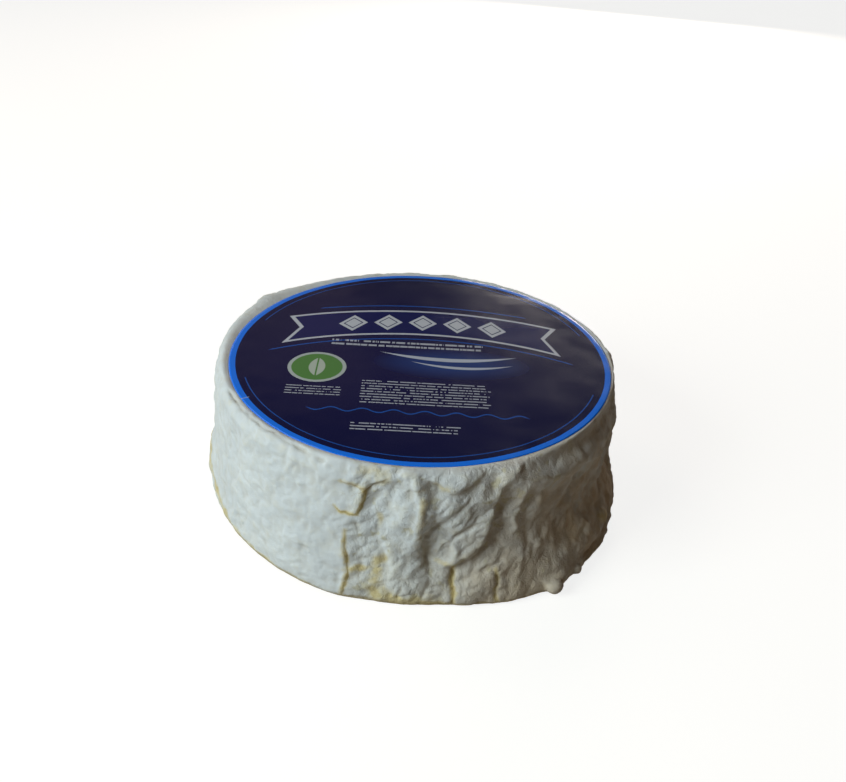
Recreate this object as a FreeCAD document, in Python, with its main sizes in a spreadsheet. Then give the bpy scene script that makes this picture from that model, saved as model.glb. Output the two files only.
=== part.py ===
"""A whole soft goat cheese: a low wheel with a wrinkled white rind, and the round label on its top.

The wheel has sagged as it ripened. It is widest at the skirt just above its foot, its side leans in
towards the shoulder, and the shoulder ends in a low rim round the flat seat that the label lies on.
Its outline is uneven: slow waves run round it, and named swells and hollows stand out of the side.

All lengths are in millimetres and all angles in degrees. +Z is up, the origin is under the middle of
the wheel on the plane that it rests on, and -Y is the side with the deepest folds.
"""

import FreeCAD
import Part
import Sketcher

import math
import os

SIZES = {
    # the wheel, from the foot up
    "foot_radius": 89.4,
    "skirt_radius": 92.2,
    "skirt_height": 6.0,
    "waist_radius": 89.6,
    "waist_height": 32.0,
    "shoulder_radius": 88.0,
    "shoulder_height": 54.0,
    "rim_height": 62.8,
    "rim_wave": 0.8,
    "rim_crest": 150.0,
    "seat_height": 61.9,
    "seat_margin": 0.2,
    # the label
    "label_radius": 83.0,
    "label_thickness": 0.3,
    "label_shift_across": 0.9,
    "label_shift_back": -0.8,
    # how uneven the outline is, as the height of each slow wave round the wheel
    "oval_wave": 0.6,
    "three_wave": 0.5,
    "five_wave": 0.4,
    "wave_twist": 35.0,
    # how many control points draw the rind's surface, round the wheel and up its side
    "columns": 120.0,
    "rings_up_the_side": 13.0,
}

# Swells (+) and hollows (-) of the side:
# name, angle round the wheel, height, half width along the side, half height, amount outwards
SIDE_SHAPES = [
    ("left wall", 166.0, 52.0, 42.0, 18.0, 2.8),
    ("back left rim", 146.0, 60.0, 24.0, 12.0, 6.4),
    ("left skirt roll", 182.0, 10.0, 14.0, 8.0, 2.6),
    ("front left swell", -112.0, 24.0, 26.0, 22.0, 1.2),
    ("step beside the swell", -99.0, 20.0, 6.0, 18.0, -1.5),
    ("upper shelf", -95.0, 50.0, 14.0, 5.0, -1.6),
    ("middle ridge", -89.0, 38.0, 5.0, 16.0, 2.4),
    ("deep hollow", -83.0, 26.0, 7.0, 10.0, -3.6),
    ("slanting valley, upper", -67.0, 45.0, 7.0, 9.0, -2.6),
    ("slanting valley, lower", -76.0, 32.0, 8.0, 9.0, -2.4),
    ("knuckle under the rim", -64.0, 57.0, 8.0, 5.0, 2.0),
    ("right front flare", -53.0, 2.0, 27.0, 10.0, 6.6),
    ("front foot", -84.0, 1.0, 14.0, 6.0, -1.2),
    ("foot lump", -52.5, 4.5, 4.0, 4.0, 2.4),
    ("right front slope", -42.0, 60.5, 32.0, 3.5, -1.8),
    ("right front brow", -45.0, 52.5, 26.0, 4.0, 3.0),
    ("right front hollow", -44.0, 34.0, 17.0, 10.0, -2.6),
    ("right shoulder", -18.0, 57.0, 30.0, 8.0, -4.6),
    ("right waist", -16.0, 26.0, 28.0, 9.0, -5.6),
    ("right skirt roll", -30.0, 10.0, 14.0, 6.0, 1.6),
    ("back swell", 62.0, 26.0, 30.0, 20.0, 1.8),
    ("back valley", 88.0, 36.0, 8.0, 18.0, -2.4),
    ("back ridge", 101.0, 32.0, 7.0, 20.0, 1.8),
    ("back left hollow", 128.0, 40.0, 17.0, 13.0, -2.0),
    ("back right hollow", 32.0, 42.0, 15.0, 11.0, -2.0),
]


def make_sheet(doc):
    """A spreadsheet whose cells hold the driving sizes, each under its own alias."""
    sheet = doc.addObject("Spreadsheet::Sheet", "Sizes")
    for row, (alias, value) in enumerate(SIZES.items(), start=1):
        sheet.set(f"A{row}", alias)
        sheet.set(f"B{row}", str(value))
        sheet.setAlias(f"B{row}", alias)
    doc.recompute()
    return sheet


def turn_between(angle, centre):
    """The signed turn from one angle to another, from -180 to 180 degrees."""
    return (angle - centre + 180.0) % 360.0 - 180.0


def slow_waves(sheet, angle, height):
    """Waves two, three and five times round the wheel, which twist a little as they climb."""
    share = height / sheet.rim_height
    turned = math.radians(angle + sheet.wave_twist * share)
    oval = sheet.oval_wave * math.cos(2.0 * turned + 0.7)
    three = sheet.three_wave * math.cos(3.0 * turned - 1.1)
    five = sheet.five_wave * math.cos(5.0 * turned + 2.2)
    return oval + three + five


def swells(sheet, angle, height):
    """The sum of the named swells and hollows, each a bell over the side's width and height."""
    total = 0.0
    for _name, centre, middle, half_width, half_height, amount in SIDE_SHAPES:
        along = math.radians(turn_between(angle, centre)) * sheet.skirt_radius / half_width
        up = (height - middle) / half_height
        total += amount * math.exp(-0.5 * (along * along + up * up))
    return total


def side_profile(sheet):
    """Radius and height of each ring of the side, from the skirt to the shoulder.

    Two stretches, skirt to waist and waist to shoulder; each is half a straight line and half a wave.
    """
    rings = int(sheet.rings_up_the_side)
    profile = []
    for ring in range(rings + 1):
        height = sheet.skirt_height + (sheet.shoulder_height - sheet.skirt_height) * ring / rings
        if height < sheet.waist_height:
            share = (height - sheet.skirt_height) / (sheet.waist_height - sheet.skirt_height)
            low, high = sheet.skirt_radius, sheet.waist_radius
        else:
            share = (height - sheet.waist_height) / (sheet.shoulder_height - sheet.waist_height)
            low, high = sheet.waist_radius, sheet.shoulder_radius
        ease = 0.5 - 0.5 * math.cos(math.pi * share)
        profile.append((low + (high - low) * (0.5 * share + 0.5 * ease), height))
    return profile


def rim_height_at(sheet, angle):
    """The rim is highest at the back left; at the right front it is a little lower than the seat."""
    turned = math.radians(angle - sheet.rim_crest)
    return sheet.rim_height + sheet.rim_wave * (math.cos(turned) + 0.4 * math.cos(3.0 * turned))


def lip_height_at(sheet, angle):
    """The lip between the rim and the seat is a third of the way up from the seat."""
    return 0.65 * sheet.seat_height + 0.35 * rim_height_at(sheet, angle)


def ring_of(sheet, radius, height, held):
    """One ring of control points; held 0 is a true circle and 1 has the full waves and swells.

    The axis leans, so that the top of the wheel, and the label on it, sit off the middle of the foot.
    """
    columns = int(sheet.columns)
    ring = []
    for column in range(columns):
        angle = 360.0 * column / columns
        z = height(sheet, angle) if callable(height) else height
        rise = min(1.0, z / sheet.seat_height)
        across = sheet.label_shift_across * rise
        back = sheet.label_shift_back * rise
        out = radius + held * (slow_waves(sheet, angle, z) + swells(sheet, angle, z))
        turn = math.radians(angle)
        ring.append(FreeCAD.Vector(across + out * math.cos(turn), back + out * math.sin(turn), z))
    return ring


def rind_rings(sheet):
    """The rings of control points of the rind, from the foot's edge, up the side, to the seat."""
    seat_radius = sheet.label_radius + sheet.seat_margin
    heel_radius = 0.4 * sheet.foot_radius + 0.6 * sheet.skirt_radius
    turn_height = 0.45 * sheet.shoulder_height + 0.55 * sheet.rim_height
    rings = [
        ring_of(sheet, sheet.foot_radius, 0.0, 0.8),
        ring_of(sheet, heel_radius, 0.0, 0.9),
        ring_of(sheet, sheet.skirt_radius, 0.3 * sheet.skirt_height, 1.0),
    ]
    for radius, height in side_profile(sheet):
        rings.append(ring_of(sheet, radius, height, 1.0))
    rings.append(ring_of(sheet, sheet.shoulder_radius - 0.4, turn_height, 0.8))
    rings.append(ring_of(sheet, 0.5 * (seat_radius + sheet.shoulder_radius), rim_height_at, 0.5))
    rings.append(ring_of(sheet, seat_radius + 1.0, lip_height_at, 0.1))
    rings.append(ring_of(sheet, seat_radius, sheet.seat_height, 0.0))
    return rings


def rind_surface(rings):
    """A smooth surface, closed round the wheel, that the rings of control points pull into shape."""
    degree = 3
    columns = len(rings[0])
    count = len(rings)
    across = [list(column) for column in zip(*rings)]
    around_knots = [float(k) for k in range(columns + 1)]
    up_knots = [float(k) for k in range(count - degree + 1)]
    up_mults = [degree + 1] + [1] * (len(up_knots) - 2) + [degree + 1]
    surface = Part.BSplineSurface()
    surface.buildFromPolesMultsKnots(
        across,
        [1] * len(around_knots),
        up_mults,
        around_knots,
        up_knots,
        True,
        False,
        degree,
        degree,
    )
    return surface


def flat_face(edges, height):
    """The flat face inside the closed edge that lies at a height."""
    at_height = [e for e in edges if abs(e.BoundBox.ZMin - height) < 1e-6 and e.BoundBox.ZLength < 1e-6]
    return Part.Face(Part.Wire(at_height))


def make_wheel(doc, sheet):
    """The cheese itself: the rind's surface, closed by the flat foot and the flat seat of the label."""
    side = rind_surface(rind_rings(sheet)).toShape()
    foot = flat_face(side.Edges, 0.0)
    seat = flat_face(side.Edges, sheet.seat_height)
    shell = Part.makeShell([side, foot, seat])
    shell.sewShape()
    solid = Part.Solid(shell)
    if solid.Volume < 0.0:
        solid.reverse()
    wheel = doc.addObject("Part::Feature", "cheese_wheel")
    wheel.Label = "cheese_wheel"
    wheel.Shape = solid
    wheel.Placement = FreeCAD.Placement()
    return wheel


def make_label(doc):
    """The round label: a thin disc on the wheel's seat, a little off the wheel's middle."""
    body = doc.addObject("PartDesign::Body", "top_label")
    body.Label = "top_label"
    sketch = body.newObject("Sketcher::SketchObject", "label_outline")
    plane = [f for f in body.Origin.OriginFeatures if f.Role == "XY_Plane"][0]
    sketch.AttachmentSupport = [(plane, "")]
    sketch.MapMode = "FlatFace"
    middle = FreeCAD.Vector(0, 0, 0)
    up = FreeCAD.Vector(0, 0, 1)
    circle = sketch.addGeometry(Part.Circle(middle, up, SIZES["label_radius"]), False)
    sketch.addConstraint(Sketcher.Constraint("Coincident", circle, 3, -1, 1))
    radius = sketch.addConstraint(Sketcher.Constraint("Radius", circle, SIZES["label_radius"]))
    sketch.setExpression(f"Constraints[{radius}]", "Sizes.label_radius")
    pad = body.newObject("PartDesign::Pad", "label_sheet")
    pad.Profile = sketch
    pad.setExpression("Length", "Sizes.label_thickness")
    body.Tip = pad
    body.setExpression("Placement.Base.x", "Sizes.label_shift_across")
    body.setExpression("Placement.Base.y", "Sizes.label_shift_back")
    body.setExpression("Placement.Base.z", "Sizes.seat_height")
    doc.recompute()
    return body


def check(doc, parts):
    """Stops with a plain message if anything failed to build or isn't one closed, valid solid."""
    for item in doc.Objects:
        if "Invalid" in item.State or "Error" in item.State:
            raise RuntimeError(f"{item.Name} failed to build: {item.State}")
    for item in parts:
        shape = item.Shape
        if shape.isNull() or not shape.isValid() or len(shape.Solids) != 1:
            raise RuntimeError(f"{item.Label} isn't one valid solid")
        box = shape.optimalBoundingBox(True, False)
        middle = ((box.XMin + box.XMax) / 2, (box.YMin + box.YMax) / 2)
        print(
            f"{item.Label}: {shape.Volume / 1000:.1f} cm3, "
            f"{box.XLength:.2f} x {box.YLength:.2f} x {box.ZLength:.2f} mm, "
            f"middle {middle[0]:.2f}, {middle[1]:.2f}, from z {box.ZMin:.3f} to {box.ZMax:.3f}"
        )


def main():
    doc = FreeCAD.newDocument("goat_cheese")
    sheet = make_sheet(doc)
    parts = [make_wheel(doc, sheet), make_label(doc)]
    doc.recompute()
    check(doc, parts)
    shared = parts[0].Shape.common(parts[1].Shape).Volume
    print(f"volume shared by the wheel and the label: {shared:.4f} mm3")
    os.makedirs("parts", exist_ok=True)
    for item in parts:
        item.Shape.exportStep(f"parts/{item.Label}.step")


main()
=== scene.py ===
# %% [markdown]
# # A soft goat cheese wheel and its label
#
# This notebook dresses one small object: a whole goat cheese, a low wheel about 19 cm across, with a wrinkled
# white rind of mould and a round glossy label on its top. The construction model gives the sizes. The steps
# are the studio, the wheel's large shape, the puckers and folds of its skin, the marks on it, the rind's
# material, the label and its print, and the table top.

# %% Load the frame
import itertools
import math

import bpy
import numpy as np
from mathutils import Matrix, Vector


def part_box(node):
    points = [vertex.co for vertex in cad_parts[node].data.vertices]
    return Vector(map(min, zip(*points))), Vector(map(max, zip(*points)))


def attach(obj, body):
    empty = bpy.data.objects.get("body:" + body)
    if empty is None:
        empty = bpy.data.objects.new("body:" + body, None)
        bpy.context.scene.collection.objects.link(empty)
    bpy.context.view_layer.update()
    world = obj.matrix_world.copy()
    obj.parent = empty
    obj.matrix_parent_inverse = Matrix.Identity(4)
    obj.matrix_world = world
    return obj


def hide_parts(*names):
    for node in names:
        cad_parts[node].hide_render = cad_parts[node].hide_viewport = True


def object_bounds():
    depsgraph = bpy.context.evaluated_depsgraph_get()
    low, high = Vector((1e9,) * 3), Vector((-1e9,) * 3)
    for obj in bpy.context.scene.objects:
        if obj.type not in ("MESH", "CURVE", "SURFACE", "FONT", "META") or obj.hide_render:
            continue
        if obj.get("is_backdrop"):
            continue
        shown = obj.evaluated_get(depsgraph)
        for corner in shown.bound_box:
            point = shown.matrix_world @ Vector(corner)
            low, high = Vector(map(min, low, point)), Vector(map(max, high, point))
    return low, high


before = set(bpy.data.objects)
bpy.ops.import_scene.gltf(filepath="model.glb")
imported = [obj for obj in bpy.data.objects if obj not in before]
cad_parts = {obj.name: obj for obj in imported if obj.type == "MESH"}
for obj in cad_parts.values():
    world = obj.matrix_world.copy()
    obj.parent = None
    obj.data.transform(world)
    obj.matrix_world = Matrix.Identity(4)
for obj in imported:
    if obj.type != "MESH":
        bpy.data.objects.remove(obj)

MM = 0.001
cad_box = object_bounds()
wheel_low, wheel_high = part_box("cheese_wheel")
label_low, label_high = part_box("top_label")
print("wheel", [round(v / MM, 1) for v in wheel_low], [round(v / MM, 1) for v in wheel_high], "mm")

# %% [markdown]
# ## The studio
#
# A large soft lamp stands to the left and rakes across the rind. Raking light is what shows relief: a lamp
# beside the camera would flatten every fold. Two lamps behind light the back and the rim, and two weak ones
# warm the shaded side and give the label's film something to reflect. The camera looks down at about 31
# degrees from close by, so the near side of the wheel looks a little larger than the far side.


# %% Camera
def look_from(target, distance, elevation, roll, lens):
    """A camera at a distance from the target, tilted down by an elevation and turned about its own axis."""
    data = bpy.data.cameras.new("camera")
    data.lens = lens
    data.sensor_width = 36.0
    camera = bpy.data.objects.new("camera", data)
    bpy.context.scene.collection.objects.link(camera)
    tilt = math.radians(elevation)
    away = Vector((0.0, -math.cos(tilt), math.sin(tilt)))
    turn = Matrix.Rotation(math.radians(90.0 - elevation), 4, "X")
    turn = turn @ Matrix.Rotation(math.radians(roll), 4, "Z")
    camera.matrix_world = Matrix.Translation(Vector(target) + distance * away) @ turn
    return camera


bpy.context.scene.camera = look_from(
    target=(2.6 * MM, 4.2 * MM, 40.9 * MM), distance=446.4 * MM, elevation=31.4, roll=2.9, lens=41.8
)
bpy.context.scene.view_settings.view_transform = "Standard"
print("camera at", bpy.context.scene.camera.matrix_world.translation)


# %% Lamps
def soft_lamp(name, azimuth, elevation, distance, size, power, colour):
    """A square area lamp on a sphere round the wheel, facing the wheel's middle."""
    data = bpy.data.lights.new(name, "AREA")
    data.size = size
    data.energy = power
    data.color = colour
    lamp = bpy.data.objects.new(name, data)
    bpy.context.scene.collection.objects.link(lamp)
    turn, rise = math.radians(azimuth), math.radians(elevation)
    level = math.cos(rise)
    place = distance * Vector((math.cos(turn) * level, math.sin(turn) * level, math.sin(rise)))
    lamp.matrix_world = Matrix.Translation(place) @ place.to_track_quat("Z", "Y").to_matrix().to_4x4()
    return lamp


soft_lamp("key", azimuth=-145.0, elevation=30.0, distance=1.1, size=0.6, power=9.9, colour=(0.80, 0.94, 1.0))
soft_lamp("fill", azimuth=-25.0, elevation=30.0, distance=1.4, size=1.0, power=0.07, colour=(1.0, 0.76, 0.52))
soft_lamp("back", azimuth=142.0, elevation=50.0, distance=1.2, size=0.5, power=1.5, colour=(1.0, 0.88, 0.80))
soft_lamp("rear", azimuth=76.0, elevation=12.0, distance=1.2, size=0.4, power=4.5, colour=(1.0, 0.92, 0.84))
soft_lamp("sheen", azimuth=108.0, elevation=24.0, distance=1.3, size=0.5, power=0.09, colour=(1.0, 0.74, 0.80))

world = bpy.data.worlds.new("studio")
world.use_nodes = True
world.node_tree.nodes["Background"].inputs["Color"].default_value = (1.0, 0.67, 0.39, 1.0)
world.node_tree.nodes["Background"].inputs["Strength"].default_value = 0.046
bpy.context.scene.world = world


# %% [markdown]
# ## Shader maths as plain expressions
#
# A material is a graph of nodes. Long chains of Math nodes are hard to read, so a small class wraps a socket
# and turns `a * b + c` into the nodes for it. Colours go through Mix nodes, which keep all three channels.


# %% The wrapper
def maths(operation):
    """A method that puts a value, and others with it, through one operation of Blender's Math node."""

    def method(wire, *others):
        return wire.sheet.node("ShaderNodeMath", {"operation": operation}, [wire, *others])

    return method


class Wire:
    """One output socket that can be used in an expression, with plain numbers beside it.

    most is the larger of two values, size a value without its sign, whole the whole number below it, and rest
    what is left over when whole multiples of another value are taken away.
    """

    def __init__(self, sheet, socket):
        self.sheet = sheet
        self.socket = socket

    __add__ = __radd__ = maths("ADD")
    __sub__ = maths("SUBTRACT")
    __mul__ = __rmul__ = maths("MULTIPLY")
    __truediv__ = maths("DIVIDE")
    __pow__ = maths("POWER")
    most = maths("MAXIMUM")
    size = maths("ABSOLUTE")
    whole = maths("FLOOR")
    rest = maths("FLOORED_MODULO")
    sine = maths("SINE")

    def __rsub__(self, other):
        return self.sheet.node("ShaderNodeMath", {"operation": "SUBTRACT"}, [other, self])

    def clamped(self):
        """The value held between 0 and 1."""
        return self.sheet.node("ShaderNodeClamp", {}, {"Value": self})

    def over(self, edge, soft):
        """0 below the edge and 1 above it, with a soft width between."""
        return ((self - (edge - 0.5 * soft)) * (1.0 / soft)).clamped()

    def under(self, edge, soft):
        """1 below the edge and 0 above it."""
        return 1.0 - self.over(edge, soft)

    def within(self, low, high, soft):
        """1 between two edges and 0 outside them."""
        return self.over(low, soft) * self.under(high, soft)


class Sheet:
    """The node tree of one material, with one method that adds any node."""

    def __init__(self, name):
        self.material = bpy.data.materials.new(name)
        self.material.use_nodes = True
        self.tree = self.material.node_tree
        self.tree.nodes.clear()

    def node(self, kind, settings=None, values=None, output=0):
        """Adds a node: its settings first, then the values or links of its sockets, by name or in order."""
        made = self.tree.nodes.new(kind)
        for key, value in (settings or {}).items():
            setattr(made, key, value)
        pairs = values.items() if isinstance(values, dict) else enumerate(values or [])
        for key, value in pairs:
            socket = made.inputs[key]
            if isinstance(value, Wire):
                self.tree.links.new(value.socket, socket)
            else:
                socket.default_value = value
        return Wire(self, made.outputs[output]) if made.outputs else None

    def blend(self, share, first, second):
        """Mixes two colours: none of the second at a share of 0, and only the second at 1."""
        return self.node("ShaderNodeMix", {"data_type": "RGBA"}, {0: share, 6: first, 7: second}, output=2)

    def parts(self, vector):
        """The x, y and z of a vector."""
        made = self.node("ShaderNodeSeparateXYZ", {}, [vector])
        outputs = made.socket.node.outputs
        return [Wire(self, outputs[k]) for k in range(3)]

    def noise(self, point, scale, detail=3.0, roughness=0.5, stretch=0.0):
        """Cloudy noise from 0 to 1 in three dimensions."""
        sockets = {"Vector": point, "Scale": scale, "Detail": detail}
        sockets |= {"Roughness": roughness, "Distortion": stretch}
        return self.node("ShaderNodeTexNoise", {}, sockets)

    def attribute(self, name):
        """A number that the mesh carries at each vertex."""
        return self.node("ShaderNodeAttribute", {"attribute_name": name}, output=2)

    def place(self):
        """The point's own place in the object, in metres."""
        return self.node("ShaderNodeTexCoord", output=3)

    def shade(self, **sockets):
        """Ends the tree in a Principled shader with the given sockets, named with _ for a space."""
        named = {key.replace("_", " "): value for key, value in sockets.items()}
        shader = self.node("ShaderNodeBsdfPrincipled", {}, named)
        self.node("ShaderNodeOutputMaterial", {}, {"Surface": shader})
        return self.material


# %% [markdown]
# ## Noise in numpy
#
# The folds of the rind are real geometry, so their noise is worked out on whole arrays of points before the
# mesh is made. Blender's Displace modifier could do it too, but then the same noise could not steer the
# colour. Gradient noise gives each corner of a grid a random direction and blends what they say.

# %% Gradient noise
chance = np.random.default_rng(7)
CORNER_DIRECTIONS = chance.normal(size=(256, 3))
CORNER_DIRECTIONS /= np.linalg.norm(CORNER_DIRECTIONS, axis=1, keepdims=True)
SHUFFLE = chance.permutation(256)


def clouds(points):
    """Smooth noise, about -1 to 1: a blend of eight corner directions, each dotted with the way to it."""
    cell = np.floor(points).astype(int)
    inside = points - cell
    ease = inside * inside * inside * (inside * (inside * 6.0 - 15.0) + 10.0)
    total = np.zeros(points.shape[:-1])
    for corner in itertools.product((0, 1), repeat=3):
        x, y, z = np.moveaxis((cell + corner) & 255, -1, 0)
        pick = SHUFFLE[(SHUFFLE[(SHUFFLE[x] + y) & 255] + z) & 255]
        weight = np.prod(np.where(corner, ease, 1.0 - ease), axis=-1)
        total += weight * ((inside - corner) * CORNER_DIRECTIONS[pick]).sum(-1)
    return 1.7 * total


def layered(points, layers=3):
    """A sum of clouds, each layer twice as fine as the last and half as high."""
    return sum(0.5**k * clouds(points * 2.0**k + 17.3 * k) for k in range(layers))


def puffs(points):
    """Rounded cushions with narrow creases between them: the size of the noise, without its sign."""
    return np.abs(clouds(points)) * 2.0


def rise(x, low, high):
    """A smooth climb from 0 at low to 1 at high."""
    share = np.clip((x - low) / (high - low), 0.0, 1.0)
    return share * share * (3.0 - 2.0 * share)


print("noise spans", clouds(chance.uniform(0, 50, (20000, 3))).min().round(2), "to about 1")


# %% [markdown]
# ## The wheel's large shape
#
# A young cheese is a plain drum. As it ripens it sags, so its foot spreads into a skirt and its shoulder draws
# in. The shape is a stack of rings, each with its own radius and height, and a B-spline carries the surface
# smoothly past them. Slow waves and named swells make the rings uneven, as the frame's own wheel is.

# %% Sizes, from the frame
label_radius = 0.5 * (label_high[0] - label_low[0]) / MM
label_middle = 0.5 * (np.array(label_low) + np.array(label_high)) / MM
seat_height = label_low[2] / MM

FOOT_RADIUS = 89.4
SKIRT_RADIUS, SKIRT_HEIGHT = 92.2, 6.0
WAIST_RADIUS, WAIST_HEIGHT = 89.6, 32.0
SHOULDER_RADIUS, SHOULDER_HEIGHT = 88.0, 54.0
RIM_HEIGHT, RIM_WAVE, RIM_CREST = 62.8, 0.8, 150.0
SEAT_RADIUS = label_radius + 0.2
SIDE_RINGS = 14

# angle round the wheel in degrees, height, half width and half height in mm, amount outwards in mm
SWELLS = {
    "left wall": (166, 52, 42, 18, 2.8),
    "back left rim": (146, 60, 24, 12, 6.4),
    "left skirt roll": (182, 10, 14, 8, 2.6),
    "front left swell": (-112, 24, 26, 22, 1.2),
    "step beside the swell": (-99, 20, 6, 18, -1.5),
    "upper shelf": (-95, 50, 14, 5, -1.6),
    "middle ridge": (-89, 38, 5, 16, 2.4),
    "deep hollow": (-83, 26, 7, 10, -3.6),
    "slanting valley, upper": (-67, 45, 7, 9, -2.6),
    "slanting valley, lower": (-76, 32, 8, 9, -2.4),
    "knuckle under the rim": (-64, 57, 8, 5, 2),
    "right front flare": (-53, 2, 27, 10, 6.6),
    "front foot": (-84, 1, 14, 6, -1.2),
    "foot lump": (-52.5, 4.5, 4, 4, 2.4),
    "right front slope": (-42, 60.5, 32, 3.5, -1.8),
    "right front brow": (-45, 52.5, 26, 4, 3),
    "right front hollow": (-44, 34, 17, 10, -2.6),
    "right shoulder": (-18, 57, 30, 8, -4.6),
    "right waist": (-16, 26, 28, 9, -5.6),
    "right skirt roll": (-30, 10, 14, 6, 1.6),
    "back swell": (62, 26, 30, 20, 1.8),
    "back valley": (88, 36, 8, 18, -2.4),
    "back ridge": (101, 32, 7, 20, 1.8),
    "back left hollow": (128, 40, 17, 13, -2),
    "back right hollow": (32, 42, 15, 11, -2),
}


def turn_between(angle, centre):
    """The signed turn from one angle to another, -180 to 180 degrees."""
    return (angle - centre + 180.0) % 360.0 - 180.0


def unevenness(angle, height):
    """Three slow waves round the wheel, which twist as they climb, and a bell for each swell or hollow."""
    turned = np.radians(angle + 35.0 * height / RIM_HEIGHT)
    out = 0.6 * np.cos(2 * turned + 0.7) + 0.5 * np.cos(3 * turned - 1.1) + 0.4 * np.cos(5 * turned + 2.2)
    for centre, middle, half_width, half_height, amount in SWELLS.values():
        along = np.radians(turn_between(angle, centre)) * SKIRT_RADIUS / half_width
        up = (height - middle) / half_height
        out = out + amount * np.exp(-0.5 * (along * along + up * up))
    return out


def rim_at(angle):
    """The rim's height: one slow wave and a weaker one three times round, highest at the back left."""
    turned = np.radians(angle - RIM_CREST)
    return RIM_HEIGHT + RIM_WAVE * (np.cos(turned) + 0.4 * np.cos(3 * turned))


def side_radius(height):
    """Skirt to waist to shoulder, each stretch half straight and half an eased curve."""
    steps = [SKIRT_HEIGHT, WAIST_HEIGHT, SHOULDER_HEIGHT]
    share = np.where(
        height < WAIST_HEIGHT,
        (height - steps[0]) / (steps[1] - steps[0]),
        (height - steps[1]) / (steps[2] - steps[1]),
    )
    low = np.where(height < WAIST_HEIGHT, SKIRT_RADIUS, WAIST_RADIUS)
    high = np.where(height < WAIST_HEIGHT, WAIST_RADIUS, SHOULDER_RADIUS)
    return low + (high - low) * (0.5 * share + 0.25 - 0.25 * np.cos(np.pi * share))


def rings_of_the_wheel(angle):
    """The x, y and z of each ring of control points: foot, skirt, side, shoulder, rim and seat."""
    heel = 0.4 * FOOT_RADIUS + 0.6 * SKIRT_RADIUS
    turn_height = 0.45 * SHOULDER_HEIGHT + 0.55 * RIM_HEIGHT
    rim = rim_at(angle)
    # radius, height, and the share of the unevenness that the ring takes
    plan = [(FOOT_RADIUS, 0.0, 0.8), (heel, 0.0, 0.9), (SKIRT_RADIUS, 0.3 * SKIRT_HEIGHT, 1.0)]
    plan += [(side_radius(h), h, 1.0) for h in np.linspace(SKIRT_HEIGHT, SHOULDER_HEIGHT, SIDE_RINGS)]
    plan += [(SHOULDER_RADIUS - 0.4, turn_height, 0.8), (0.5 * (SEAT_RADIUS + SHOULDER_RADIUS), rim, 0.5)]
    plan += [(SEAT_RADIUS + 1.0, 0.65 * seat_height + 0.35 * rim, 0.1), (SEAT_RADIUS, seat_height, 0.0)]
    rows = []
    for radius, height, held in plan:
        z = height + 0.0 * angle
        lean = np.minimum(1.0, z / seat_height)
        out = radius + held * unevenness(angle, z)
        x = label_middle[0] * lean + out * np.cos(np.radians(angle))
        y = label_middle[1] * lean + out * np.sin(np.radians(angle))
        rows.append([x, y, z])
    return np.moveaxis(np.array(rows), 1, 2)


def spline_weights(share, count, degree=3):
    """How much each of a number of control rings pulls at each share of the way, by Cox and de Boor's rule."""
    spans = count - degree
    knots = np.concatenate([np.zeros(degree), np.arange(spans + 1.0), np.full(degree, float(spans))])
    x = np.clip(share * spans, 0.0, spans - 1e-9)[:, None]
    weights = ((knots[:-1] <= x) & (x < knots[1:])).astype(float)
    for step in range(1, degree + 1):
        number = weights.shape[1] - 1
        before, after = knots[:number], knots[step : step + number]
        climb = np.where(after > before, (x - before) / np.maximum(after - before, 1e-9), 0.0)
        before, after = knots[1 : number + 1], knots[step + 1 : step + 1 + number]
        fall = np.where(after > before, (after - x) / np.maximum(after - before, 1e-9), 0.0)
        weights = climb * weights[:, :number] + fall * weights[:, 1:]
    return weights


# %% The smooth skin
COLUMNS = 768
ROWS = 112

angle = np.arange(COLUMNS) * 360.0 / COLUMNS
rings = rings_of_the_wheel(angle)
fine_share = np.linspace(0.0, 1.0, 2001)
fine_line = (spline_weights(fine_share, len(rings)) @ rings.reshape(len(rings), -1)).reshape(2001, COLUMNS, 3)
radius_line = np.hypot(fine_line[..., 0], fine_line[..., 1]).mean(1)
height_line = fine_line[..., 2].mean(1)
steps = np.hypot(np.diff(radius_line), np.diff(height_line))
length_line = np.concatenate([[0.0], np.cumsum(steps)])
SKIN_LENGTH = length_line[-1]

climb = np.linspace(0.0, SKIN_LENGTH, ROWS)
row_share = np.interp(climb, length_line, fine_share)
skin = (spline_weights(row_share, len(rings)) @ rings.reshape(len(rings), -1)).reshape(ROWS, COLUMNS, 3)
print(f"skin: {ROWS} rows of {COLUMNS}, {SKIN_LENGTH:.1f} mm from the foot's edge to the label")

# %% [markdown]
# ## Lines on the skin
#
# The skin is softer than the paste under it, and wrinkles as the cheese settles. The large folds, the cracks
# and the ochre marks are drawn as lines on the unrolled skin. Each is a short list of places: the angle round
# the wheel, and the distance up the skin from the foot's edge. Such a list can be read and moved, which a
# sculpted fold can't.

# %% A line and the distance to it
BODY_RADIUS = 90.0


def smooth_line(points, pieces=8):
    """A curve through the points, by Catmull and Rom's rule: each span bends with its neighbours."""
    points = np.array(points, dtype=float)
    ends = np.vstack([2 * points[0] - points[1], points, 2 * points[-1] - points[-2]])
    a, b, c, d = ends[:-3, None], ends[1:-2, None], ends[2:-1, None], ends[3:, None]
    u = np.linspace(0.0, 1.0, pieces, endpoint=False)[None, :, None]
    curve = 0.5 * (2 * b + (c - a) * u + (2 * a - 5 * b + 4 * c - d) * u**2 + (3 * b - a - 3 * c + d) * u**3)
    return np.vstack([curve.reshape(-1, 2), points[-1]])


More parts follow.
